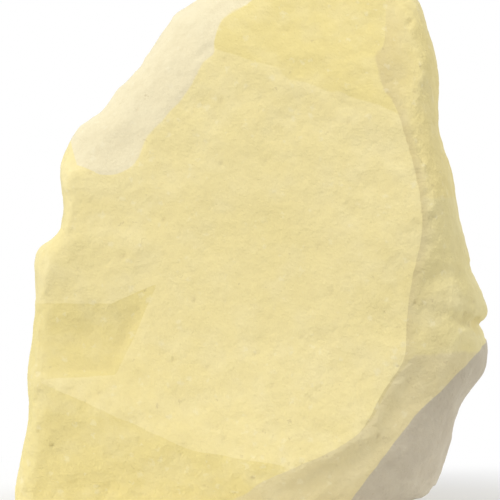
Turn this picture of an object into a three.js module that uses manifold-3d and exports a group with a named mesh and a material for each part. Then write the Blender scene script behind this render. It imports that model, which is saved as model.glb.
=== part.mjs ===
// Flint nodule: one upright lump of flint in its cream cortex, standing on a small level spot.
//
// Millimetres, +Z up, the broad weathered face towards -Y. The origin is on the surface that
// the stone stands on, under the middle of its width and depth.
//
// The stone is a loft along Y. Closed rings run from the middle of the front face, out to the
// shoulder where that face breaks away, down the bevel to the rim (the widest ring, which is
// the stone's outline from the front), and on round the back. Broad flats are then pressed
// into the back, knobs and hollows are worked into it, and the foot is cut level.
import * as THREE from "three";
import { mergeVertices } from "three/addons/utils/BufferGeometryUtils.js";
import Module from "manifold-3d";

// ---------------------------------------------------------------- driving dimensions

const HEART = new THREE.Vector2(0, 72); // (x, z) that every ring is drawn round
const REACH = new THREE.Vector2(62, 78); // half width and half height of the front

const FACE_DEPTH = -46; // y of the front face at its middle
const FACE_CROWN = 4; // how far that face falls back from its middle to its ends
const RIM_DROP = 17; // how far the rim lies behind the planes of the front face
const RIM_LEAN = 0.1; // and it lies further back to the right by this slope
const BACK_DEPTH = 52; // y of the back before its flats are pressed
const BACK_HEART = new THREE.Vector2(5, 68); // (x, z) of the deepest point of the back
const BACK_FULLNESS = 2.2; // 2 is an ellipse, more is boxier

const RIBS_PER_BEND = 3; // ribs of the loft for each bend of the rim
const FACE_ROWS = 10; // rings from the middle of the face to the shoulder
const BACK_ROWS = 14; // rings from the rim to the middle of the back
const NOTCH_FADE = 0.22; // share of the way round the back at which the rim's notches end
const CALM_ARC = 1.3; // radians over which the rim is averaged for the back
const CALM_SHARE = 0.94; // size of that average, so that the back stays behind the rim
const TWIST = 0.5; // radians by which the notches turn over the way round the back

// The rim: the stone's outline from the front, clockwise from the crown, as [x, z].
const RIM = [
  // crown
  [-14.1, 147], [-6, 153], [6, 158.5], [18, 161.5], [31, 160.5], [40.5, 156.5], [48.8, 147.5],
  // right shoulder
  [51.3, 139], [53.3, 130], [53.6, 121], [53.4, 112], [54.6, 103.5],
  // right flank, to the lobe, its notch and the lobe below
  [57, 98], [59.2, 85.5], [62.3, 71.5], [63.3, 68],
  [65.6, 64], [68.3, 58.5], [68, 55.4], [64.5, 53.8], [67.3, 50], [67.6, 43],
  // undercut down to the foot
  [65.5, 38], [60.3, 31], [58, 25], [55.7, 15], [52, 7], [49, 4.4], [43.5, 3],
  // below the level of the foot
  [31, -2.5], [12, -7], [-14, -9], [-42, -9], [-62, -6],
  // left flank
  [-67, 3], [-65, 13], [-62.3, 29], [-62.8, 36], [-61.2, 50], [-60.5, 63], [-60.8, 71],
  // ledge and the hollow over it
  [-59.4, 75.6], [-54, 79.2], [-52.4, 84], [-53.3, 96],
  // left shoulder, in steps
  [-51.6, 103], [-48.6, 108.9], [-44.4, 111.6], [-41, 115], [-33.8, 123.2], [-30.4, 126.4],
  [-28.9, 130.4], [-21, 141],
];

// The shoulder: where the front face breaks away into the bevel, clockwise from the crown.
const SHOULDER = [
  [-0.5, 141], [6, 149], [17, 153.5], [29, 152], [35.5, 144], [36, 129], [41, 116],
  [47, 100], [49.5, 86], [49, 76], [46, 68.5], [44, 55], [44, 44],
  [38, 35.5], [34, 27], [27, 21], [14.5, 16], [2, 11], [-12, 4], [-38, 2.5],
  [-60, 4], [-59.5, 20], [-58.5, 38], [-57.5, 55], [-56.5, 69], [-51, 77.5], [-49.3, 85],
  [-49.5, 96], [-45, 97], [-32, 98], [-25.5, 110], [-17, 120], [-12.5, 131.5], [-6.5, 135],
];

// The bevel from the shoulder to the rim: [share of the way out, share of the way back].
// A slope, a low ridge, a steeper slope and a round that ends running straight back.
const BEVEL = [[0.3, 0.12], [0.58, 0.25], [0.82, 0.48], [0.95, 0.74], [1, 1]];
const LOW_RIGHT = { bearing: -0.95, spread: 0.38, pull: 0.7 }; // its ridge lies further in there

// Broad planes of the front face. Each falls back on the left of the line from a to b.
const FACE_TILTS = [
  { a: [-13, 133], b: [43, 113], slope: 0.36 }, // brow
  { a: [0, 12.5], b: [-60, 38], slope: 0.36 }, // toe
];

// The scar: a shallow dish low on the left of the face, with its middle at (x, z).
const SCAR = { x: -46, z: 52, depth: 3, reach: 17 };

// Flats pressed into the back and sides: the way each faces and its distance from the heart.
const FLATS = [
  { facing: [-0.66, 0.73, 0.16], distance: 49 }, // left of the back
  { facing: [0.6, 0.78, 0.1], distance: 51 }, // right of the back
  { facing: [0.12, 0.72, 0.68], distance: 62 }, // nape
  { facing: [0.1, 0.78, -0.62], distance: 56 }, // heel
];
const FLAT_EDGE = 5; // rounding where a flat meets the round of the back

// Knobs and hollows of the back and sides: centre, height (a hollow's is negative) and size.
const KNOBS = [
  { at: [18, 50, 100], height: 7, size: 24 }, // upper boss of the back
  { at: [-24, 44, 38], height: 8, size: 24 }, // lower boss of the back
  { at: [-8, 54, 70], height: -5, size: 22 }, // saddle between the two
  { at: [50, 32, 84], height: 4, size: 16 }, // right side
  { at: [40, 30, 34], height: -4, size: 17 }, // hollow under it
  { at: [-46, 24, 96], height: 4, size: 17 }, // left shoulder
  { at: [-60, 8, 56], height: -4, size: 15 }, // hollow of the left side
  { at: [22, 14, 154], height: -4, size: 13 }, // dent in the crown
];

// ---------------------------------------------------------------- curves of the outline

function closedCurve(points) {
  const corners = points.map(([x, z]) => new THREE.Vector3(x, 0, z));
  return new THREE.CatmullRomCurve3(corners, true, "centripetal");
}

function bearing(x, z) {
  return Math.atan2(z - HEART.y, x - HEART.x);
}

// The distance from the heart to a closed curve, for any bearing from -PI to PI.
function reachOf(curve, samples = 720) {
  const table = curve
    .getPoints(samples)
    .slice(0, -1)
    .map((p) => ({
      angle: bearing(p.x, p.z),
      reach: Math.hypot(p.x - HEART.x, p.z - HEART.y),
    }))
    .sort((p, q) => p.angle - q.angle);
  const first = table[0];
  const last = table[table.length - 1];
  table.unshift({ angle: last.angle - 2 * Math.PI, reach: last.reach });
  table.push({ angle: first.angle + 2 * Math.PI, reach: first.reach });
  return (angle) => {
    const next = table.findIndex((p) => p.angle > angle);
    const [p, q] = [table[next - 1], table[next]];
    const share = (angle - p.angle) / (q.angle - p.angle);
    return THREE.MathUtils.lerp(p.reach, q.reach, share);
  };
}

function wrapped(angle) {
  return Math.atan2(Math.sin(angle), Math.cos(angle));
}

// The same outline a little smaller, with its notches and lobes averaged away.
function calmed(reach, steps = 24) {
  return (angle) => {
    let sum = 0;
    for (let i = 0; i <= steps; i++) {
      sum += reach(wrapped(angle + CALM_ARC * (i / steps - 0.5)));
    }
    return (CALM_SHARE * sum) / (steps + 1);
  };
}

// ---------------------------------------------------------------- the front

// Distance of (x, z) beyond the line from a to b, positive on its left.
function beyond({ a, b }, x, z) {
  const along = [b[0] - a[0], b[1] - a[1]];
  const length = Math.hypot(...along);
  return (along[0] * (z - a[1]) - along[1] * (x - a[0])) / length;
}

// Zero below zero and rising as x above, with the corner rounded over about `edge`.
function rampUp(x, edge) {
  return 0.5 * (x + Math.sqrt(x * x + edge * edge));
}

function faceDepth(x, z) {
  const [u, w] = [(x - HEART.x) / REACH.x, (z - HEART.y) / REACH.y];
  let y = FACE_DEPTH + FACE_CROWN * (u * u + w * w);
  for (const tilt of FACE_TILTS) y += tilt.slope * rampUp(beyond(tilt, x, z), 1);
  const away = Math.hypot(x - SCAR.x, z - SCAR.z) / SCAR.reach;
  return y + SCAR.depth * Math.exp(-away * away);
}

function rimDepth(x, z) {
  return faceDepth(x, z) + RIM_DROP + RIM_LEAN * x;
}

// ---------------------------------------------------------------- the loft

function lofted() {
  const rim = closedCurve(RIM);
  const rimReach = reachOf(rim);
  const calmReach = calmed(rimReach);
  const shoulderReach = reachOf(closedCurve(SHOULDER));
  const ribs = RIBS_PER_BEND * RIM.length;
  const rows = FACE_ROWS + BEVEL.length + BACK_ROWS;

  function place(rib, row) {
    const edge = rim.getPoint(rib);
    edge.y = rimDepth(edge.x, edge.z);
    const angle = bearing(edge.x, edge.z);
    const out = new THREE.Vector2(Math.cos(angle), Math.sin(angle));
    const breakAt = HEART.clone().addScaledVector(out, shoulderReach(angle));
    if (row <= FACE_ROWS) {
      const at = HEART.clone().lerp(breakAt, row / FACE_ROWS);
      return new THREE.Vector3(at.x, faceDepth(at.x, at.y), at.y);
    }
    if (row <= FACE_ROWS + BEVEL.length) {
      const [outward, back] = BEVEL[row - FACE_ROWS - 1];
      const aside = (angle - LOW_RIGHT.bearing) / LOW_RIGHT.spread;
      const share = outward ** (1 + LOW_RIGHT.pull * Math.exp(-aside * aside));
      const at = breakAt.clone().lerp(new THREE.Vector2(edge.x, edge.z), share);
      const y = THREE.MathUtils.lerp(faceDepth(breakAt.x, breakAt.y), edge.y, back);
      return new THREE.Vector3(at.x, y, at.y);
    }
    const turn = (row - FACE_ROWS - BEVEL.length) / BACK_ROWS;
    const spread = Math.cos((turn * Math.PI) / 2) ** (2 / BACK_FULLNESS);
    const sink = Math.sin((turn * Math.PI) / 2) ** (2 / BACK_FULLNESS);
    const bent = wrapped(angle + TWIST * turn);
    const notched = 1 - THREE.MathUtils.smoothstep(turn, 0, NOTCH_FADE);
    const reach = calmReach(bent) + notched * (rimReach(angle) - calmReach(angle));
    const heart = HEART.clone().lerp(BACK_HEART, sink);
    out.set(Math.cos(bent), Math.sin(bent));
    const at = heart.addScaledVector(out, spread * reach);
    return new THREE.Vector3(at.x, THREE.MathUtils.lerp(edge.y, BACK_DEPTH, sink), at.y);
  }

  // A sphere with its poles on the Y axis has one vertex for each rib and row.
  const skin = new THREE.SphereGeometry(1, ribs, rows);
  const [position, uv] = [skin.getAttribute("position"), skin.getAttribute("uv")];
  for (let i = 0; i < position.count; i++) {
    const rib = 1 - Math.round(uv.getX(i) * ribs) / ribs;
    const row = Math.round((1 - uv.getY(i)) * rows);
    position.setXYZ(i, ...worked(place(rib, row)).toArray());
  }
  return skin;
}

// ---------------------------------------------------------------- flats and knobs

function worked(point) {
  const heart = new THREE.Vector3(HEART.x, 0, HEART.y);
  for (const { facing, distance } of FLATS) {
    const normal = new THREE.Vector3(...facing).normalize();
    const proud = normal.dot(point.clone().sub(heart)) - distance;
    point.addScaledVector(normal, -rampUp(proud, FLAT_EDGE));
  }
  for (const { at, height, size } of KNOBS) {
    const away = point.distanceTo(new THREE.Vector3(...at)) / size;
    const outward = point.clone().sub(heart).normalize();
    point.addScaledVector(outward, height * Math.exp(-away * away));
  }
  return point;
}

// ---------------------------------------------------------------- the level foot

const wasm = await Module();
wasm.setup();

function solid(geometry) {
  const bare = geometry.clone();
  bare.deleteAttribute("normal");
  bare.deleteAttribute("uv");
  const merged = mergeVertices(bare, 1e-3);
  return new wasm.Manifold(
    new wasm.Mesh({
      numProp: 3,
      vertProperties: merged.getAttribute("position").array,
      triVerts: new Uint32Array(merged.index.array),
    }),
  );
}

function geometryOf(manifold) {
  const { vertProperties, triVerts } = manifold.getMesh();
  const geometry = new THREE.BufferGeometry();
  geometry.setAttribute("position", new THREE.BufferAttribute(vertProperties, 3));
  geometry.setIndex(new THREE.BufferAttribute(triVerts, 1));
  geometry.computeVertexNormals();
  return geometry;
}

function nodule() {
  const ground = new THREE.BoxGeometry(400, 400, 100).translate(0, 0, -50);
  const stone = geometryOf(solid(lofted()).subtract(solid(ground)));
  stone.computeBoundingBox();
  const middle = stone.boundingBox.getCenter(new THREE.Vector3());
  const cortex = new THREE.MeshStandardMaterial({
    color: 0xecdda2,
    roughness: 0.9,
    metalness: 0,
  });
  const mesh = new THREE.Mesh(stone, cortex);
  mesh.name = "flint_nodule";
  mesh.position.set(-middle.x, -middle.y, 0);
  return mesh;
}

const part = new THREE.Group();
part.add(nodule());

export default part;
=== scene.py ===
# %% [markdown]
# # A flint nodule in its cream cortex
#
# Flint grows in chalk as hard, glassy lumps. Where the lump meets the chalk it keeps a rind, the
# *cortex*: pale, matt and slightly rough, like fired clay. Old nodules that have lain in the
# ground lose the sharpness of their rind, and where the rind is worn thin the grey flint shows
# through as a tint.
#
# The CAD model gives the stone its size, its outline, its big planes and its level foot. This
# lesson gives it its skin: one even mesh, its dents and pits, and a finish that follows the way
# each part of the surface faces. Light and shade are painted into that finish: a painted
# highlight on the planes that face up and to the left, and painted shade on those that face
# right and down.

# %% Load the frame
import math

import bmesh
import bpy
import numpy as np
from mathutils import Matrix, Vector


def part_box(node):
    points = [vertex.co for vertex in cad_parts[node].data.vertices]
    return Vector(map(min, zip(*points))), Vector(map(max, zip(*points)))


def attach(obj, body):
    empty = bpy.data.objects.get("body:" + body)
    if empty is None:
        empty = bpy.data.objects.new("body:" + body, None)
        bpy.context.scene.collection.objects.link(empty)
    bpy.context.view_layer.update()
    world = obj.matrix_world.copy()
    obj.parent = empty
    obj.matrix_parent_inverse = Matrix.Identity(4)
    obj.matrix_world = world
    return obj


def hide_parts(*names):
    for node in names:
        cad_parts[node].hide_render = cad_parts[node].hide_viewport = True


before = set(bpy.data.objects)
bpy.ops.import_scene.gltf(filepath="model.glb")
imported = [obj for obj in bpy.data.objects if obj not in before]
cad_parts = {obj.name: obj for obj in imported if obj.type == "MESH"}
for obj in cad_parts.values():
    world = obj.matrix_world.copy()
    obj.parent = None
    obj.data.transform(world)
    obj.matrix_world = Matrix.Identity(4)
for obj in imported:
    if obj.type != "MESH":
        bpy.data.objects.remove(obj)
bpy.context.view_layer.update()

MM = 0.001
NODE = "flint_nodule"
low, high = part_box(NODE)
size = high - low
print("stone, mm:", [round(side / MM, 1) for side in size])

# %% [markdown]
# ## The camera
#
# The stone is seen square to its broad face, from the height of its middle, and so close that
# its crown and its foot run out of the view. A long lens from far away does this: it keeps the
# planes of the stone in their true proportions. The view is given as shares of the stone's own
# size, so it follows the stone if that changes.

# %% Make the camera
LENS = 200.0
SENSOR = 36.0
VIEW_WIDTH = 1.0436 * size.x
VIEW_MIDDLE = (low.x + high.x) / 2 - 0.0052 * size.x
EYE_HEIGHT = low.z + 0.4655 * size.z
OUTLINE_DEPTH = low.y + 22 * MM  # the outline lies about this far behind the front face
FARTHEST_SEEN = 20.0

camera_data = bpy.data.cameras.new("camera")
camera_data.lens = LENS
camera_data.sensor_width = SENSOR
camera_data.clip_end = FARTHEST_SEEN
camera = bpy.data.objects.new("camera", camera_data)
distance = VIEW_WIDTH * LENS / SENSOR
camera.location = (VIEW_MIDDLE, OUTLINE_DEPTH - distance, EYE_HEIGHT)
camera.rotation_euler = (math.radians(90), 0, 0)
bpy.context.scene.collection.objects.link(camera)
bpy.context.scene.camera = camera
print("camera stands off", round(distance, 3), "m")

# %% [markdown]
# ## One even skin
#
# The CAD stone is a few thousand long, flat triangles. A rind needs small, even faces, because
# dents and pits have to bend it anywhere. The stone could be sculpted again from nothing, but
# then its outline would drift. So its mesh is copied, its loose triangles are merged, and a
# voxel remesh lays one net of even squares over it. The step keeps the skin under 200,000
# triangles, and a pit is still wider than one square.

# %% Copy the stone and lay an even skin over it
SKIN_STEP = 0.92 * MM
MERGE_WITHIN = 0.002 * MM


def finished_mesh(piece):
    """The piece's mesh with its modifiers worked in."""
    seen = piece.evaluated_get(bpy.context.evaluated_depsgraph_get())
    mesh = bpy.data.meshes.new_from_object(seen)
    piece.modifiers.clear()
    return mesh


def even_skin():
    """A fine, even copy of the CAD stone."""
    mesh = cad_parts[NODE].data.copy()
    merged = bmesh.new()
    merged.from_mesh(mesh)
    bmesh.ops.remove_doubles(merged, verts=merged.verts, dist=MERGE_WITHIN)
    merged.to_mesh(mesh)
    merged.free()
    mesh.materials.clear()
    piece = bpy.data.objects.new("flint_stone", mesh)
    bpy.context.scene.collection.objects.link(piece)
    remesh = piece.modifiers.new("even skin", "REMESH")
    remesh.mode = "VOXEL"
    remesh.voxel_size = SKIN_STEP
    piece.data = finished_mesh(piece)
    return piece


stone = even_skin()
print("skin:", len(stone.data.vertices), "vertices,", len(stone.data.polygons), "faces")

# %% [markdown]
# ## Averaging over the skin
#
# One small tool does two jobs. Averaging over neighbours, run on positions, eases the skin: the
# flat CAD triangles go and the big planes stay. Run on the directions that the vertices face,
# it gives the way each *region* faces with the small bumps left out. Blender's own Smooth
# modifier could do the first job only, so the averaging is written out with numpy here.

# %% Average a value over the skin
edges = np.empty(len(stone.data.edges) * 2, dtype=np.int32)
stone.data.edges.foreach_get("vertices", edges)
edge_a, edge_b = edges.reshape(-1, 2).T
neighbours = np.bincount(edges)[:, None]


def averaged(values, rounds):
    """Each round takes every vertex half way to the mean of its neighbours."""
    count = len(values)
    for _ in range(rounds):
        total = np.empty_like(values)
        for k in range(values.shape[1]):
            total[:, k] = np.bincount(edge_a, values[edge_b, k], count)
            total[:, k] += np.bincount(edge_b, values[edge_a, k], count)
        values = 0.5 * values + 0.5 * total / neighbours
    return values


print("neighbours of a vertex:", neighbours.min(), "to", neighbours.max())

# %% [markdown]
# ## Easing the skin
#
# Old rind has no sharp edge left, because weather took it. A few rounds of averaging do the
# same. More rounds would also shrink the notch and the ledges, so there are only five. The
# vertices of the level foot keep their height, so that the stone still stands flat.

# %% Ease the skin
EASING_ROUNDS = 5
FOOT_HEIGHT = 0.1 * MM


def positions(mesh):
    """Where the vertices are, one row each."""
    flat = np.empty(len(mesh.vertices) * 3)
    mesh.vertices.foreach_get("co", flat)
    return flat.reshape(-1, 3)


def facings(mesh):
    """Which way the vertices face, one row each."""
    flat = np.empty(len(mesh.vertices) * 3, dtype=np.float32)
    mesh.vertex_normals.foreach_get("vector", flat)
    return flat.reshape(-1, 3).astype(float)


def put_positions(mesh, points):
    """Moves the vertices to the given points."""
    mesh.vertices.foreach_set("co", points.ravel())
    mesh.update()


raw = positions(stone.data)
eased = averaged(raw, EASING_ROUNDS)
on_foot = raw[:, 2] < FOOT_HEIGHT
eased[on_foot, 2] = 0.0
put_positions(stone.data, eased)
print("easing moved the skin by up to", round(np.abs(eased - raw).max() / MM, 2), "mm")

# %% [markdown]
# ## The old scar
#
# Low on the left a flake once broke away, and new rind has grown over the break. The CAD stone
# has only a soft dish there. Its edges could be cut with a boolean, but that would leave them
# knife-sharp. They are pressed in here instead, where the skin is fine enough to hold them: a
# feathered edge at the top, where the flake ran out, and a small step to the right and below.
# Four straight lines bound it, given in shares of the stone's width and height.

# %% Cut the scar's edges
SCAR_TOP = ((0.31, 0.412), (0.212, 0.375), (0.02, 0.375))
SCAR_FOOT = ((0.02, 0.238), (0.222, 0.25))
SCAR_STEP = 1.0 * MM
SCAR_WALLS = (12 * MM, 2.5 * MM, 3.0 * MM)  # width of the slope at the top, below and right
FACES_FRONT = (0.5, 0.8)  # shares of a facing: where the scar starts and where it is full


def smooth_step(values, start, end):
    """0 below start, 1 above end, and an S curve between them."""
    t = np.clip((values - start) / (end - start), 0, 1)
    return t * t * (3 - 2 * t)


def inside(points, start, end):
    """How far points lie on the left of the line from start to end, both in shares."""
    corner = np.array([[low.x + x * size.x, low.z + z * size.z] for x, z in (start, end)])
    along = (corner[1] - corner[0]) / np.linalg.norm(corner[1] - corner[0])
    away = points[:, [0, 2]] - corner[0]
    return along[0] * away[:, 1] - along[1] * away[:, 0]


tip, bend, far_left = SCAR_TOP
low_left, low_right = SCAR_FOOT
scar_edges = (
    np.maximum(inside(eased, tip, bend), inside(eased, bend, far_left)),
    inside(eased, low_left, low_right),
    inside(eased, low_right, tip),
)
scar = smooth_step(-facings(stone.data)[:, 1], *FACES_FRONT)
for edge, slope in zip(scar_edges, SCAR_WALLS):
    scar *= smooth_step(edge, 0.0, slope)
eased[:, 1] += SCAR_STEP * scar
put_positions(stone.data, eased)
print("scar covers", round(100 * scar.mean(), 1), "% of the skin")

# %% [markdown]
# ## Ledges and swellings of the sides
#
# The sides of a nodule aren't straight: they swell a little here and there, and above the left
# shoulder the rind has broken back in a small, crisp ledge. These are too small for the CAD
# stone's rings, so they could be sculpted by hand, but a short table does it in numbers that
# can be changed: short bands of one side, each pushed out or pulled in by about a millimetre.

# %% Shape the ledges and swellings
LEFT, RIGHT = -1, 1
BANDS = (
    # side, share of the height, half width, outwards
    (LEFT, 0.887, 1.6 * MM, 1.0 * MM),
    (LEFT, 0.727, 2.6 * MM, -0.7 * MM),
    (LEFT, 0.706, 1.5 * MM, 1.1 * MM),
    (LEFT, 0.641, 4.0 * MM, 0.35 * MM),
    (LEFT, 0.509, 6.0 * MM, 0.55 * MM),
    (LEFT, 0.442, 4.0 * MM, -0.5 * MM),
    (LEFT, 0.228, 6.0 * MM, -0.5 * MM),
    (RIGHT, 0.474, 5.0 * MM, 0.7 * MM),
    (RIGHT, 0.223, 6.0 * MM, 0.9 * MM),
    (RIGHT, 0.140, 8.0 * MM, 0.7 * MM),
)
BAND_LENGTH = 15 * MM  # a band fades out over this much in front of the widest part and behind it
BAND_SLANT = 0.35  # how much a band rises towards the back
FACES_SIDE = (0.15, 0.5)  # shares of a facing: where a band starts and where it is full

sideways = facings(stone.data)[:, 0]
back = eased[:, 1] - OUTLINE_DEPTH
fading = np.exp(-((back / BAND_LENGTH) ** 2))
level = eased[:, 2] - low.z - BAND_SLANT * back
for side, share, reach, outwards in BANDS:
    shape = np.exp(-(((level - share * size.z) / reach) ** 2)) * fading
    eased[:, 0] += side * outwards * smooth_step(side * sideways, *FACES_SIDE) * shape
put_positions(stone.data, eased)
print(len(BANDS), "bands shaped")

# %% [markdown]
# ## Reading the shape
#
# The painted light and shade of the planes follow a region, not a bump, so each vertex has to
# know which way its whole region faces. It also has to know whether it stands proud of the
# stone around it, because ridges get scuffed and hollows are made darker. Both could be painted
# by hand. Here they are read from the shape with the averaging, and follow it if it changes.
# region faces. It also has to know whether it stands proud of the stone around it, because
# ridges get scuffed and hollows keep dirt. Both could be painted by hand. Here they are read
# from the shape with the averaging, and follow it if it changes.

# %% Read which way each region faces, and where the ridges and hollows are
FACING_ROUNDS = 18
RIDGE_ROUNDS = 60
RIDGE_STANDS = (0.15 * MM, 0.6 * MM)  # proud of the region by this much: starts, and is full
HOLLOW_SINKS = (0.1 * MM, 0.5 * MM)

facing = averaged(facings(stone.data), FACING_ROUNDS)
facing /= np.linalg.norm(facing, axis=1)[:, None]
far_eased = averaged(eased, RIDGE_ROUNDS)
standing = ((eased - far_eased) * facing).sum(axis=1)
ridge = smooth_step(standing, *RIDGE_STANDS)
hollow = smooth_step(-standing, *HOLLOW_SINKS)
print("ridge share", round(ridge.mean(), 3), "hollow share", round(hollow.mean(), 3))

# %% [markdown]
# ## Rules for the tones
#
# Each plane gets its own tone, mostly painted light or shade after how it faces the key light,
# with a fairly sharp edge where the plane breaks. Painting those tones by hand would never quite
# meet the breaks. Here each tone is a rule on the facing or the height instead, stored as an
# attribute from 0 to 1. Where a tone ends on a break that the facing alone can't find, a border
# of straight lines, in shares of the width and height, bounds it. *Behind* is 1 on the back,
# where the stone is round and its tones run into each other, so there every slope is made wider.

# %% Write the rules
BORDER_WIDTH = 1.0 * MM  # half the width of a border's slope
BACK_SPREAD = 4.0  # how many times wider every slope is behind
FACES_BACK = (-0.15, 0.35)  # shares of a facing, as in all the rules below

across = facing[:, 0]
upward = facing[:, 2]
down_right = 0.7 * across - 0.7 * upward
height = (eased[:, 2] - low.z) / size.z
behind = smooth_step(facing[:, 1], *FACES_BACK)


def rule(values, start, end):
    """0 below start and 1 above end, with a slope between that is wider behind."""
    spread = 0.5 * (BACK_SPREAD - 1) * (end - start) * behind
    return smooth_step(values, start - spread, end + spread)


def beyond(border, join=np.maximum):
    """1 on the left of a border and 0 on its right. The minimum joins lines that turn left."""
    sides = [inside(eased, *ends) for ends in zip(border, border[1:])]
    return rule(join.reduce(sides), -BORDER_WIDTH, BORDER_WIDTH)


def store(name, values):
    """Keeps one value for each vertex under a name that the material can read."""
    layer = stone.data.attributes.new(name, "FLOAT", "POINT")
    layer.data.foreach_set("value", values.astype(np.float32))
    print(f"{name:9s} covers {100 * values.mean():4.1f}% of the skin")


store("behind", behind)
store("ridge", ridge)
store("hollow", hollow)

# %% [markdown]
# ## Painted highlight, and stained and shaded rind
#
# Planes that face up and to the left, towards the key light, are painted paler: a painted
# highlight. The brow, the toe and the old scar lean back from the face and are laid in ochre: on
# the brow a stain, on the toe and the scar, which face a little down, painted shade. The painted
# highlight ends on a border at the left shoulder, and the toe on one across the foot of the
# face. The scar's ochre follows the same lines as its edges, only narrower, so that tone and
# step agree.

# %% Store the painted highlight, and the stain and painted shade
HIGHLIGHT_RISE = (0.06, 0.18)
HIGHLIGHT_LEFT = (-0.03, 0.07)
HIGHLIGHT_HEIGHT = (0.5, 0.6)
HIGHLIGHT_FOOT = ((0.127, 0.647), (0.141, 0.613), (0.2, 0.59))
BROW_RISE = (0.12, 0.26)
BROW_HEIGHT = (0.66, 0.7)
TOE_BORDER = ((0.597, 0.092), (0.373, 0.123), (0.071, 0.236))
TOE_LEFT = (-0.2, 0.0)
SCAR_FRONT = (0.0, 0.2)
SCAR_EDGE = (-0.5 * MM, 1.0 * MM)

painted_highlight = rule(upward, *HIGHLIGHT_RISE) * rule(-across, *HIGHLIGHT_LEFT)
over_foot = np.maximum(beyond(HIGHLIGHT_FOOT, np.minimum), behind)
painted_highlight *= rule(height, *HIGHLIGHT_HEIGHT) * over_foot
brow = rule(upward, *BROW_RISE) * (1 - painted_highlight) * rule(height, *BROW_HEIGHT)
toe = beyond(TOE_BORDER) * rule(-across, *TOE_LEFT)
scar_tone = smooth_step(-facing[:, 1], *SCAR_FRONT)
for edge in scar_edges:
    scar_tone *= smooth_step(edge, *SCAR_EDGE)

# Painted highlight: paler where the key light falls. The ochre mark: a stain on the brow, and
# painted shade on the toe and the scar.
store("painted_highlight", painted_highlight)
store("stain_and_shade", np.maximum.reduce([brow, toe, scar_tone]))

# %% [markdown]
# ## Painted shade on the right side
#
# Planes that face right, away from the key light, are painted darker: *flank* is all of them,
# and *low flank* its lower half, darker again. High up the flank starts on a border, where the
# break is too soft for the facing to find. *Shaded* is what faces right and down, close to the
# ground. *Turned* grows as the flank turns away from the face; painted shade along the break is
# strongest where the flank still faces the front, and fades where the light darkens it anyway.
# The steepest plane, low on the right, is painted grey: partly rind worn thin, with the grey
# flint showing through, and partly painted shade.

# %% Store the tones of the right side
FLANK_RIGHT = (0.14, 0.25)
FLANK_BORDER = ((0.775, 0.895), (0.767, 0.76), (0.829, 0.64))
CROWN_HEIGHT = (0.78, 0.84)
LOW_FLANK_TOP = (-0.58, -0.53)
SHADED_DOWN = (0.22, 0.38)
SHADED_TOP = (-0.315, -0.26)
TURNED_RIGHT = (0.15, 0.6)
THIN_AND_SHADE_BORDER = ((0.697, 0.026), (0.828, 0.177), (0.97, 0.288))
THIN_AND_SHADE_DOWN = (0.15, 0.3)

past_border = beyond(FLANK_BORDER, np.minimum)
before_border = rule(height, *CROWN_HEIGHT) * (1 - past_border) * (1 - behind)
facing_right = rule(across, *FLANK_RIGHT) * (1 - before_border)
flank = np.maximum(facing_right, past_border * (1 - behind))

# Painted shade: flank, low flank and shaded darken the planes that face right and down. The
# steepest low plane is grey rind and painted shade.
store("flank", flank)
store("low flank", flank * rule(-height, *LOW_FLANK_TOP))
store("turned", smooth_step(across, *TURNED_RIGHT))
store("shaded", rule(down_right, *SHADED_DOWN) * rule(-height, *SHADED_TOP))
store("thin_rind_and_shade", (1 - beyond(THIN_AND_SHADE_BORDER)) * rule(down_right, *THIN_AND_SHADE_DOWN))

# %% [markdown]
# ## Helpers for node trees
#
# The relief and the finish are both trees of nodes. They could be drawn by hand in Blender's
# editor, but a script can be read, changed and run again. Most of such a script is adding a
# node and joining its sockets, so a few helpers do that in one line each.

# %% Add, join and reckon
def add(tree, kind, **settings):
    """A new node with its settings."""
    made = tree.nodes.new(kind)
    for name, value in settings.items():
        setattr(made, name, value)
    return made


def feed(tree, socket, value):
    """Joins a socket to another node's output, or sets it to a plain value."""
    if isinstance(value, bpy.types.NodeSocket):
        tree.links.new(value, socket)
    else:
        socket.default_value = value


def feed_all(tree, node, **values):
    """Feeds a node's inputs by name. Underscores in the names stand for spaces."""
    for name, value in values.items():
        feed(tree, node.inputs[name.replace("_", " ")], value)
    return node.outputs


def reckon(tree, operation, *values):
    """The result of a Math node."""
    made = add(tree, "ShaderNodeMath", operation=operation)
    for socket, value in zip(made.inputs, values):
        feed(tree, socket, value)
    return made.outputs[0]


print("helpers ready: add, feed, feed_all, reckon")

# %% [markdown]
# ## Ramps, noise and group sockets
#
# Three more helpers stand for nodes that come back all the time: an S-shaped ramp, a noise, and
# a named socket of a node group. The noise has a fourth coordinate, which works as a seed: each
# value of it gives another pattern of the same kind.

# %% Ramp, noise and open a socket
def ramp(tree, value, start, end, low_end=0.0, high_end=1.0):
    """An S curve that takes start..end to low_end..high_end."""
    made = add(tree, "ShaderNodeMapRange", interpolation_type="SMOOTHSTEP")
    ends = {"From_Min": start, "From_Max": end, "To_Min": low_end, "To_Max": high_end}
    return feed_all(tree, made, Value=value, **ends)["Result"]


def noise(tree, vector, scale, detail, roughness=0.5, seed=0.0):
    """The value of a Noise Texture, about 0 to 1. Each seed gives another pattern."""
    made = add(tree, "ShaderNodeTexNoise", noise_dimensions="4D")
    kind = {"Scale": scale, "Detail": detail, "Roughness": roughness}
    return feed_all(tree, made, Vector=vector, W=seed, **kind)[0]


def open_input(tree, kind, name, default=None):
    """A named input of a node group."""
    socket = tree.interface.new_socket(name=name, in_out="INPUT", socket_type=kind)
    if default is not None:
        socket.default_value = default


print("helpers ready: ramp, noise, open_input")

# %% [markdown]
# ## Relief that repeats
#
# A rind is never smooth. It rolls gently, it is dented all over, it has a grain that a hand
# feels, its ridges are nibbled by knocks, and it is pricked with small pits where grains of
# chalk fell out. All of this repeats over the whole surface and follows rules, so Geometry
# Nodes make it. Sculpting would do it once, and the tree does it for any stone. It has named
# inputs, so that each kind of relief can be turned up or down by itself.

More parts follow.
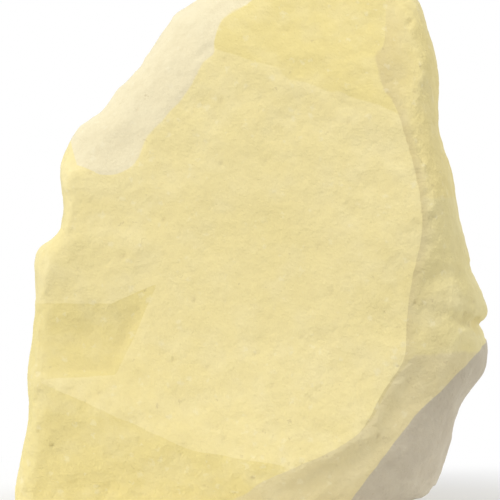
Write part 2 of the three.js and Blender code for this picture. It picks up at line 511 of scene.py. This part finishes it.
# %% Open the relief tree
relief = bpy.data.node_groups.new("rind relief", "GeometryNodeTree")
open_input(relief, "NodeSocketGeometry", "Skin")
for name, default in (
    ("Roll Height", 0.5 * MM), ("Roll Width", 36 * MM),
    ("Dent Depth", 0.35 * MM), ("Dent Width", 11 * MM),
    ("Grain Depth", 0.3 * MM), ("Grain Width", 5 * MM),
    ("Chip Depth", 0.6 * MM), ("Chip Width", 5 * MM),
    ("Pit Depth", 0.5 * MM), ("Pit Width", 1.3 * MM), ("Pits", 3500.0),
):
    open_input(relief, "NodeSocketFloat", name, default)
open_input(relief, "NodeSocketInt", "Seed", 28)
open_input(relief, "NodeSocketMaterial", "Finish")
relief.interface.new_socket(name="Skin", in_out="OUTPUT", socket_type="NodeSocketGeometry")

given = add(relief, "NodeGroupInput").outputs
place = add(relief, "GeometryNodeInputPosition").outputs[0]
print("relief inputs:", len(relief.interface.items_tree) - 1)

# %% [markdown]
# ## The roll and the dents
#
# The roll is one broad noise, and it keeps the big planes from looking machined. The dents are
# a shallow bowl in the middle of each cell of a Voronoi pattern, about as wide as a fingertip,
# as knocks and frost leave them. A second noise could make dents too, but they would run into
# each other like waves, and real ones stay apart.

# %% Roll and dents
SWING = 4.0  # a noise strays from its middle by about a quarter, so this takes it to about 1
BOWL_RIM = 0.75  # how far from a cell's middle its bowl ends, in cells
BOWL_SINKS, BOWL_STANDS = 0.6, -0.4  # shares of the depth, in the middle and at the rim


def wave(width, wave_height, detail, roughness, seed=0.0):
    """Noise that moves the skin out and in by about the given height."""
    scale = reckon(relief, "DIVIDE", 1.0, width)
    value = noise(relief, place, scale, detail, roughness, seed)
    swing = reckon(relief, "MULTIPLY", reckon(relief, "SUBTRACT", value, 0.5), SWING)
    return reckon(relief, "MULTIPLY", swing, wave_height)


def pressed(outward, mask, depth):
    """The relief so far, pressed in by a depth where a mask says so."""
    return reckon(relief, "SUBTRACT", outward, reckon(relief, "MULTIPLY", mask, depth))


outward = wave(given["Roll Width"], given["Roll Height"], 3.0, 0.42, given["Seed"])
dents = add(relief, "ShaderNodeTexVoronoi", voronoi_dimensions="3D", feature="SMOOTH_F1")
dent_scale = reckon(relief, "DIVIDE", 1.0, given["Dent Width"])
from_middle = feed_all(relief, dents, Vector=place, Scale=dent_scale, Smoothness=0.5)["Distance"]
bowl = ramp(relief, from_middle, 0.0, BOWL_RIM, BOWL_SINKS, BOWL_STANDS)
outward = pressed(outward, bowl, given["Dent Depth"])
print("roll and dents:", len(relief.nodes), "nodes so far")

# %% [markdown]
# ## The grain and the chips
#
# The grain is a finer noise, the small roughness that a hand feels. It is real geometry and not
# a bump, so that it shows on the outline too. The chips are bites out of the ridges only: the
# patches of a noise, held to where the ridge attribute is high.

# %% Grain and chips
BITTEN = (0.5, 0.62)  # where in the noise a bite starts, and where it is full

grain = wave(given["Grain Width"], given["Grain Depth"], 3.0, 0.6)
outward = reckon(relief, "ADD", outward, grain)

on_ridge = add(relief, "GeometryNodeInputNamedAttribute", data_type="FLOAT")
on_ridge.inputs["Name"].default_value = "ridge"
chip_scale = reckon(relief, "DIVIDE", 1.0, given["Chip Width"])
bite = ramp(relief, noise(relief, place, chip_scale, 1.0), *BITTEN)
bite = reckon(relief, "MULTIPLY", bite, on_ridge.outputs[0])
outward = pressed(outward, bite, given["Chip Depth"])
print("grain and chips:", len(relief.nodes), "nodes so far")

# %% [markdown]
# ## The pits
#
# Small pits sit anywhere, so points are scattered over the skin, and each vertex is pressed in
# by how near it is to a point. Cutting thousands of holes would be far heavier. Round, even pits
# look like drill holes, so a noise is added to the distance, which makes each one uneven.

# %% Pits
PIT_UNEVENNESS = 1.2
PIT_WALL = (0.5, 1.3)  # where its floor ends and where it meets the skin, in widths

scatter = add(relief, "GeometryNodeDistributePointsOnFaces", distribute_method="RANDOM")
points = feed_all(
    relief, scatter, Mesh=given["Skin"], Density=given["Pits"], Seed=given["Seed"]
)["Points"]
nearest = add(relief, "GeometryNodeProximity", target_element="POINTS")
to_point = feed_all(relief, nearest, Geometry=points)["Distance"]
reach = reckon(relief, "DIVIDE", to_point, given["Pit Width"])
uneven = noise(relief, place, reckon(relief, "DIVIDE", 1.0, given["Pit Width"]), 1.0)
reach = reckon(relief, "ADD", reach, reckon(relief, "MULTIPLY", uneven, PIT_UNEVENNESS))
pit = ramp(relief, reach, *PIT_WALL, 1.0, 0.0)
outward = pressed(outward, pit, given["Pit Depth"])
print("pits:", len(relief.nodes), "nodes so far")

# %% [markdown]
# ## Closing the relief tree
#
# The pits are kept as an attribute, so that the finish can darken them. Then every vertex
# moves along its own facing by the sum of the reliefs. The tree ends in Realize Instances and
# Set Material, so that what comes out is plain mesh with its finish on.

# %% Close the relief tree
out_along = add(relief, "ShaderNodeVectorMath", operation="SCALE")
facing_out = add(relief, "GeometryNodeInputNormal").outputs[0]
push = feed_all(relief, out_along, Vector=facing_out, Scale=outward)["Vector"]

keep = add(relief, "GeometryNodeStoreNamedAttribute", data_type="FLOAT", domain="POINT")
kept = feed_all(relief, keep, Name="pit", Geometry=given["Skin"], Value=pit)["Geometry"]
move = add(relief, "GeometryNodeSetPosition")
moved = feed_all(relief, move, Geometry=kept, Offset=push)["Geometry"]
real = feed_all(relief, add(relief, "GeometryNodeRealizeInstances"), Geometry=moved)["Geometry"]
finish = add(relief, "GeometryNodeSetMaterial")
finished = feed_all(relief, finish, Geometry=real, Material=given["Finish"])["Geometry"]
feed_all(relief, add(relief, "NodeGroupOutput"), Skin=finished)
print("relief tree:", len(relief.nodes), "nodes")

# %% [markdown]
# ## The finish, and its clouds
#
# The rind is one material, because it is one skin. A plain cream would look like plastic, so
# the colour is built in layers: a cream ground, faint ochre clouds, the tones of each plane with
# ragged edges, most of them painted light and shade, specks, darker pits, and pale scuffs on
# ridges.
# Three effects come back with other sizes, so each is a node group. The first is *clouds*: soft
# patches of a given width in millimetres, which cover about a given share of the skin.

# %% Node group: clouds
def new_group(name, *inputs):
    """A shader group with a place in mm, some named numbers, and one mask as its output."""
    tree = bpy.data.node_groups.new(name, "ShaderNodeTree")
    open_input(tree, "NodeSocketVector", "Place mm")
    for title, default in inputs:
        open_input(tree, "NodeSocketFloat", title, default)
    tree.interface.new_socket(name="Mask", in_out="OUTPUT", socket_type="NodeSocketFloat")
    result = add(tree, "NodeGroupOutput").inputs["Mask"]
    return tree, add(tree, "NodeGroupInput").outputs, result


def around(tree, value, middle, softness):
    """A ramp from 0 to 1 whose middle and half width are given."""
    start = reckon(tree, "SUBTRACT", middle, softness)
    return ramp(tree, value, start, reckon(tree, "ADD", middle, softness))


NOISE_TOP, NOISE_SPAN = 0.75, 0.5  # nearly all of a noise lies in this span below this top


def build_clouds():
    """Soft patches that cover about a given share."""
    tree, group, result = new_group(
        "clouds", ("Width mm", 20.0), ("Cover", 0.5), ("Softness", 0.15)
    )
    scale = reckon(tree, "DIVIDE", 1.0, group["Width mm"])
    value = noise(tree, group["Place mm"], scale, 4.0, 0.55)
    covered = reckon(tree, "MULTIPLY", group["Cover"], NOISE_SPAN)
    middle = reckon(tree, "SUBTRACT", NOISE_TOP, covered)
    feed(tree, result, around(tree, value, middle, group["Softness"]))
    return tree


clouds = build_clouds()
print("clouds:", len(clouds.nodes), "nodes")

# %% [markdown]
# ## Ragged edges
#
# Where two tones of rind meet, the border is narrow but never straight. The stored masks have
# soft borders. This group adds a noise to a mask and cuts it at a half, which leaves a narrow,
# uneven border. A sharper mask on a finer mesh would still be straight.

# %% Node group: ragged edge
def build_ragged():
    """A mask with its soft border made narrow and uneven."""
    tree, group, result = new_group(
        "ragged edge", ("Mask", 0.0), ("Width mm", 6.0), ("Raggedness", 0.5), ("Softness", 0.12)
    )
    scale = reckon(tree, "DIVIDE", 1.0, group["Width mm"])
    value = noise(tree, group["Place mm"], scale, 3.0, 0.55)
    stray = reckon(tree, "MULTIPLY", reckon(tree, "SUBTRACT", value, 0.5), group["Raggedness"])
    strayed = reckon(tree, "ADD", group["Mask"], stray)
    feed(tree, result, around(tree, strayed, 0.5, group["Softness"]))
    return tree


ragged = build_ragged()
print("ragged edge:", len(ragged.nodes), "nodes")

# %% [markdown]
# ## Specks
#
# Flecks of chalk and grains of dirt sit apart from each other. They are spots in some of the
# cells of a Voronoi pattern, each of its own size. Plain cells would give round spots in even
# rows, like mould, so the place is first made to drift by a noise, which bends every spot.

# %% Node group: specks
WANDER_FINENESS = 2.5  # how much finer than the cells the drift is
SMALLEST_SPECK = 0.3  # a share of the given size, added to each speck's own draw
SPECK_CORE = 0.3  # the share of a speck that is solid


def drifted(tree, spot, width):
    """The place, moved about by up to half a cell."""
    wander = add(tree, "ShaderNodeTexNoise", noise_dimensions="3D")
    finer = reckon(tree, "DIVIDE", WANDER_FINENESS, width)
    centred = add(tree, "ShaderNodeVectorMath", operation="SUBTRACT")
    feed(tree, centred.inputs[0], feed_all(tree, wander, Vector=spot, Scale=finer)["Color"])
    centred.inputs[1].default_value = (0.5, 0.5, 0.5)
    drift = add(tree, "ShaderNodeVectorMath", operation="SCALE")
    total = add(tree, "ShaderNodeVectorMath", operation="ADD")
    feed(tree, total.inputs[0], spot)
    shift = feed_all(tree, drift, Vector=centred.outputs["Vector"], Scale=width)["Vector"]
    feed(tree, total.inputs[1], shift)
    return total.outputs["Vector"]


def build_specks():
    """Small separate spots of uneven outline, in some of the cells."""
    tree, group, result = new_group("specks", ("Width mm", 2.0), ("Share", 0.3), ("Size", 0.3))
    cells = add(tree, "ShaderNodeTexVoronoi", voronoi_dimensions="3D", feature="F1")
    spot = drifted(tree, group["Place mm"], group["Width mm"])
    scale = reckon(tree, "DIVIDE", 1.0, group["Width mm"])
    cell = feed_all(tree, cells, Vector=spot, Scale=scale)
    draw = feed_all(tree, add(tree, "ShaderNodeSeparateColor"), Color=cell["Color"])
    chosen = reckon(tree, "LESS_THAN", draw[0], group["Share"])
    own = reckon(tree, "ADD", draw[1], SMALLEST_SPECK)
    full = reckon(tree, "MULTIPLY", group["Size"], own)
    core = reckon(tree, "MULTIPLY", full, SPECK_CORE)
    mask = ramp(tree, cell["Distance"], core, full, 1.0, 0.0)
    feed(tree, result, reckon(tree, "MULTIPLY", chosen, mask))
    return tree


specks = build_specks()
print("specks:", len(specks.nodes), "nodes")

# %% [markdown]
# ## The colours
#
# The colours are linear values, chosen so that each plane keeps its own tone under this light,
# and they weren't measured on a real nodule. Most are one cream, lit and shaded: the painted
# highlight is painted light, tan, olive and the shaded tan are painted shade, ochre is a stain
# and, on the toe and the scar, painted shade too, and grey is thin rind and painted shade. They
# stay close together: from the palest plane to the dullest, the rind hardly changes hue, and
# only the thin rind turns towards grey.

# %% Colours, and the start of the cortex
CREAM = (0.880, 0.772, 0.402, 1)
# painted highlight: the cream where the key light falls
PAINTED_HIGHLIGHT = (0.838, 0.761, 0.542, 1)
# ochre: stain in the clouds and on the brow, painted shade on the toe and the scar
OCHRE = (0.818, 0.704, 0.311, 1)
# tan, olive and the shaded tan: painted shade on planes that face right and down
TAN_SHADE = (0.850, 0.731, 0.340, 1)
OLIVE_SHADE = (0.830, 0.732, 0.374, 1)
SHADED_TAN = (0.765, 0.665, 0.385, 1)
# grey: thin rind, and painted shade
GREY = (0.555, 0.492, 0.384, 1)
# dirt, and painted shade along the break of the flank
DIRT_AND_SHADE = (0.52, 0.41, 0.22, 1)
CHALK = (0.93, 0.88, 0.68, 1)

cortex = bpy.data.materials.new("cortex")
cortex.use_nodes = True
rind = cortex.node_tree
rind.nodes.clear()

in_mm = add(rind, "ShaderNodeMapping", vector_type="POINT")
in_mm.inputs["Scale"].default_value = (1 / MM, 1 / MM, 1 / MM)
on_stone = add(rind, "ShaderNodeTexCoord").outputs["Object"]
place_mm = feed_all(rind, in_mm, Vector=on_stone)[0]
print("cortex started with", len(rind.nodes), "nodes")

# %% [markdown]
# ## Laying one colour over another
#
# Each effect is a mask, a colour and a strength, laid over the colour so far, as thin washes
# are laid over each other. The masks of the tones come from the stored attributes: crisp and a
# little ragged in front, and cloudy behind, where the planes have no clear breaks.

# %% Helpers for the layers
RAGGED_FRONT, RAGGED_MORE_BEHIND = 0.5, 0.8
SOFT_FRONT, SOFT_MORE_BEHIND = 0.12, 0.38


def attribute(name):
    """A value stored on the skin."""
    return add(rind, "ShaderNodeAttribute", attribute_name=name).outputs["Fac"]


def use(group, **values):
    """Places a group in the cortex and feeds its inputs."""
    made = add(rind, "ShaderNodeGroup", node_tree=group)
    return feed_all(rind, made, Place_mm=place_mm, **values)[0]


def laid_over(under, mask, tone, strength):
    """The colour under, with a tone laid over it as strongly as the mask says."""
    made = add(rind, "ShaderNodeMix", data_type="RGBA", blend_type="MIX")
    feed(rind, made.inputs["Factor"], reckon(rind, "MULTIPLY", mask, strength))
    feed(rind, made.inputs[6], under)
    feed(rind, made.inputs[7], tone)
    return made.outputs[2]


def more_behind(front, more):
    """A value for the front that grows towards the back."""
    return reckon(rind, "ADD", front, reckon(rind, "MULTIPLY", on_back, more))


on_back = attribute("behind")
raggedness = more_behind(RAGGED_FRONT, RAGGED_MORE_BEHIND)
softness = more_behind(SOFT_FRONT, SOFT_MORE_BEHIND)
zones = {
    name: use(ragged, Mask=attribute(name), Raggedness=raggedness, Softness=softness)
    for name in ("stain_and_shade", "flank", "low flank", "shaded", "painted_highlight", "thin_rind_and_shade")
}
print("zones:", ", ".join(zones))

# %% [markdown]
# ## The ground and the tones
#
# The ground is cream with faint ochre clouds. Over it comes the tone of each plane, its painted
# light or shade, in the order in which they cover each other. The painted shade along the break
# between face and flank fades as the flank turns away, where the light darkens it anyway, so it
# takes the flank's mask times how square on it still is.

# %% Lay the ground and the tones
square_on = reckon(rind, "SUBTRACT", 1.0, attribute("turned"))
painted_break_shade = reckon(rind, "MULTIPLY", zones["flank"], square_on)
colour = laid_over(CREAM, use(clouds, Width_mm=34.0, Cover=0.45), OCHRE, 0.35)
# Each plane's tone: painted highlight, painted shade, and on the brow an ochre stain.
for mask, tone, strength in (
    (zones["stain_and_shade"], OCHRE, 0.9),
    (zones["flank"], TAN_SHADE, 0.9),
    (zones["low flank"], OLIVE_SHADE, 0.9),
    # painted shade on the flank, strongest where it still faces the front
    (painted_break_shade, DIRT_AND_SHADE, 0.38),
    (zones["shaded"], SHADED_TAN, 0.9),
    (zones["painted_highlight"], PAINTED_HIGHLIGHT, 0.9),
    (zones["thin_rind_and_shade"], GREY, 0.95),
):
    colour = laid_over(colour, mask, tone, strength)
print("tones laid:", len(rind.nodes), "nodes so far")

# %% [markdown]
# ## Mottling, flecks, darker pits and hollows, and scuffs
#
# Close up a cortex is never one colour. It is mottled in two sizes, it holds flecks of chalk
# and grains of dirt, its pits and hollows are darker, and its ridges are scuffed pale. Each
# is weak, because together they have to stay quieter than the tones. Where the rind is thin
# there is less chalk in it, so its flecks are fainter.

# %% Lay the mottling, flecks, darker pits and hollows, and scuffs
LESS_CHALK_WHERE_THIN = 0.6

less_chalk = reckon(rind, "MULTIPLY", attribute("thin_rind_and_shade"), LESS_CHALK_WHERE_THIN)
thick = reckon(rind, "SUBTRACT", 1.0, less_chalk)
chalk_flecks = reckon(rind, "MULTIPLY", use(specks, Width_mm=2.6, Share=0.35, Size=0.42), thick)
for mask, tone, strength in (
    (use(clouds, Width_mm=9.0, Cover=0.4, Softness=0.12), CHALK, 0.10),
    (use(clouds, Width_mm=2.2, Cover=0.4, Softness=0.15), DIRT_AND_SHADE, 0.07),
    (chalk_flecks, CHALK, 0.22),
    (use(specks, Width_mm=3.3, Share=0.15, Size=0.24), DIRT_AND_SHADE, 0.3),
    # darker in the pits and hollows
    (attribute("pit"), DIRT_AND_SHADE, 0.22),
    (attribute("hollow"), DIRT_AND_SHADE, 0.1),
    (attribute("ridge"), CHALK, 0.06),
):
    colour = laid_over(colour, mask, tone, strength)
print("layers laid:", len(rind.nodes), "nodes so far")

# %% [markdown]
# ## Matt, and rough to the touch
#
# Cortex scatters light like unglazed clay. Its roughness varies a little with its grain, and
# where the rind is thin it is slightly waxy, as flint is. The grain that is too fine for the
# mesh is a bump of two noises. The numbers that are the same all over are set on the shader's
# own sockets, so that they reach an exported model.

# %% Roughness, bump and shader
ROUGHNESS, ROUGHNESS_SWING, WAXY_WHERE_THIN = 0.86, 0.16, 0.22
FINE_GRAIN, COARSE_GRAIN = 0.7, 2.4  # widths in mm
FINE_SHARE = 0.5  # how strong the fine grain is beside the coarse one
SPECULAR, DIFFUSE_ROUGHNESS = 0.3, 0.5
BUMP_STRENGTH, BUMP_DISTANCE = 0.8, 0.5 * MM

fine = noise(rind, place_mm, 1 / FINE_GRAIN, 3.0, 0.6)
coarse = noise(rind, place_mm, 1 / COARSE_GRAIN, 2.0, 0.5)
swing = reckon(rind, "MULTIPLY", reckon(rind, "SUBTRACT", fine, 0.5), ROUGHNESS_SWING)
rough = reckon(rind, "ADD", ROUGHNESS, swing)
rough = reckon(rind, "SUBTRACT", rough, reckon(rind, "MULTIPLY", zones["thin_rind_and_shade"], WAXY_WHERE_THIN))
bump_height = reckon(rind, "ADD", reckon(rind, "MULTIPLY", fine, FINE_SHARE), coarse)
bump = add(rind, "ShaderNodeBump")
bump.inputs["Strength"].default_value = BUMP_STRENGTH
bump.inputs["Distance"].default_value = BUMP_DISTANCE
bumped = feed_all(rind, bump, Height=bump_height)["Normal"]

surface = add(rind, "ShaderNodeBsdfPrincipled")
surface.inputs["Specular IOR Level"].default_value = SPECULAR
surface.inputs["Diffuse Roughness"].default_value = DIFFUSE_ROUGHNESS
shade = feed_all(rind, surface, Base_Color=colour, Roughness=rough, Normal=bumped)["BSDF"]
feed_all(rind, add(rind, "ShaderNodeOutputMaterial"), Surface=shade)
print("cortex:", len(rind.nodes), "nodes")

# %% [markdown]
# ## Putting relief and finish on the stone
#
# The tree's inputs are set before the skin is first worked out, and each by its socket's own
# identifier. Then the result is taken as a plain mesh, because other programs can't work out a
# live modifier.

# %% Work the relief into the skin
RELIEF = {
    "Roll Height": 0.8 * MM, "Dent Depth": 0.7 * MM, "Chip Depth": 0.6 * MM, "Finish": cortex,
}

weathering = stone.modifiers.new("rind relief", "NODES")
weathering.node_group = relief
for item in relief.interface.items_tree:
    if item.name in RELIEF and item.in_out == "INPUT":
        weathering[item.identifier] = RELIEF[item.name]
stone.data = finished_mesh(stone)
worked = positions(stone.data)
print("relief moved the skin by up to", round(np.abs(worked - eased).max() / MM, 2), "mm")

# %% [markdown]
# ## Keeping the stone in its box
#
# Where relief would carry the skin out of the CAD stone's box it is eased back, not cut off,
# because a cut would leave a flat patch on the proudest part of the face. The level foot is
# pressed flat again, because a dent in it would let the stone rock.

# %% Ease the skin back into the box
BOX_MARGIN = 0.8 * MM


def eased_inside(points, margin):
    """Points near the sides of the CAD box, or out of it, moved to just inside. The foot's stay."""
    points = points.copy()
    for axis, (start, end) in enumerate(zip(low, high)):
        for side, sign in ((start, 1), (end, -1)):
            room = sign * (points[:, axis] - side)
            near = (room < margin) & (points[:, 2] > margin)
            points[near, axis] = side + sign * margin * np.exp(room[near] / margin - 1)
    return points


worked = eased_inside(worked, BOX_MARGIN)
worked[:, 2] = np.maximum(worked[:, 2], 0.0)
worked[on_foot, 2] = 0.0
put_positions(stone.data, worked)
for face in stone.data.polygons:
    face.use_smooth = True
print("triangles:", sum(len(face.vertices) - 2 for face in stone.data.polygons))

# %% [markdown]
# ## Handing the stone to the frame
#
# The new skin rides on the stone's one body and stands for the CAD solid, which then isn't
# shown. The CAD solid could be shown with the finish on it, but its long triangles would show.

# %% Tell the frame what the piece is
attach(stone, "root")
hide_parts(NODE)
print("handed over:", stone.name)

# %% [markdown]
# ## Floor and surround
#
# A pale floor that runs out into a white surround keeps the eye on the stone. A bent paper
# sweep would do the same, but from some sides its bend would show. Here the floor's own finish
# fades into the surround's white. The surround looks white, and gives less light than white
# would, so that the relief of the stone keeps its shadows.

# %% Floor and surround
FLOOR_WIDTH = 8.0
FLOOR_FADE = (0.05, 0.2)  # metres from the stone over which the floor turns into the surround
FLOOR_GREY = (0.88, 0.88, 0.88, 1)
FLOOR_ROUGHNESS = 0.8
SURROUND_LIGHT = 0.38  # what the surround gives as light; to the eye it is white


def white_to_the_eye(tree):
    """A strength of 1 where the camera sees it, and of the surround's light elsewhere."""
    seen = add(tree, "ShaderNodeLightPath").outputs["Is Camera Ray"]
    return reckon(tree, "ADD", SURROUND_LIGHT, reckon(tree, "MULTIPLY", seen, 1 - SURROUND_LIGHT))


def floor_finish():
    """Pale and matt near the stone, and as white as the surround further out."""
    material = bpy.data.materials.new("pale floor")
    material.use_nodes = True
    tree = material.node_tree
    near = tree.nodes["Principled BSDF"]
    near.inputs["Base Color"].default_value = FLOOR_GREY
    near.inputs["Roughness"].default_value = FLOOR_ROUGHNESS
    far = add(tree, "ShaderNodeEmission")
    feed(tree, far.inputs["Strength"], white_to_the_eye(tree))
    from_stone = add(tree, "ShaderNodeVectorMath", operation="LENGTH")
    feed(tree, from_stone.inputs[0], add(tree, "ShaderNodeTexCoord").outputs["Object"])
    both = add(tree, "ShaderNodeMixShader")
    feed(tree, both.inputs[0], ramp(tree, from_stone.outputs["Value"], *FLOOR_FADE))
    feed(tree, both.inputs[1], near.outputs[0])
    feed(tree, both.inputs[2], far.outputs[0])
    feed(tree, tree.nodes["Material Output"].inputs["Surface"], both.outputs[0])
    return material


def build_floor():
    """A wide flat sheet under the stone."""
    mesh = bpy.data.meshes.new("floor")
    sheet = bmesh.new()
    bmesh.ops.create_grid(sheet, x_segments=1, y_segments=1, size=FLOOR_WIDTH / 2)
    sheet.to_mesh(mesh)
    sheet.free()
    mesh.materials.append(floor_finish())
    floor = bpy.data.objects.new("floor", mesh)
    floor.location.z = low.z
    bpy.context.scene.collection.objects.link(floor)


def build_surround():
    """White on all sides and above."""
    surround = bpy.data.worlds.new("surround")
    surround.use_nodes = True
    back_light = surround.node_tree.nodes["Background"]
    back_light.inputs["Color"].default_value = (1, 1, 1, 1)
    strength = white_to_the_eye(surround.node_tree)
    feed(surround.node_tree, back_light.inputs["Strength"], strength)
    bpy.context.scene.world = surround


build_floor()
build_surround()
print("floor", FLOOR_WIDTH, "m wide; surround gives", SURROUND_LIGHT)

# %% [markdown]
# ## Lights
#
# Three soft panels light the stone as in a small product studio: the strongest high on the
# left in front, one on the right so that the duller side isn't lost, and one behind for the
# back. Small lamps would throw hard shadows into every pit.

# %% Lights
LIGHTS = (
    # name, place in metres, width, watts
    ("key", (-0.75, -0.95, 0.95), 0.45, 17.5),
    ("fill", (1.35, -0.2, 0.5), 0.8, 10.5),
    ("rim", (0.4, 1.2, 0.9), 0.8, 8.0),
)


def build_light(name, stand, width, watts):
    """A soft square panel that looks at the middle of the stone."""
    panel = bpy.data.lights.new(name, "AREA")
    panel.size = width
    panel.energy = watts
    light = bpy.data.objects.new(name, panel)
    light.location = stand
    aim = (low + high) / 2 - light.location
    light.rotation_euler = aim.to_track_quat("-Z", "Y").to_euler()
    bpy.context.scene.collection.objects.link(light)


for row in LIGHTS:
    build_light(*row)

bpy.context.scene.view_settings.view_transform = "Standard"
print("lights:", ", ".join(name for name, *_ in LIGHTS))
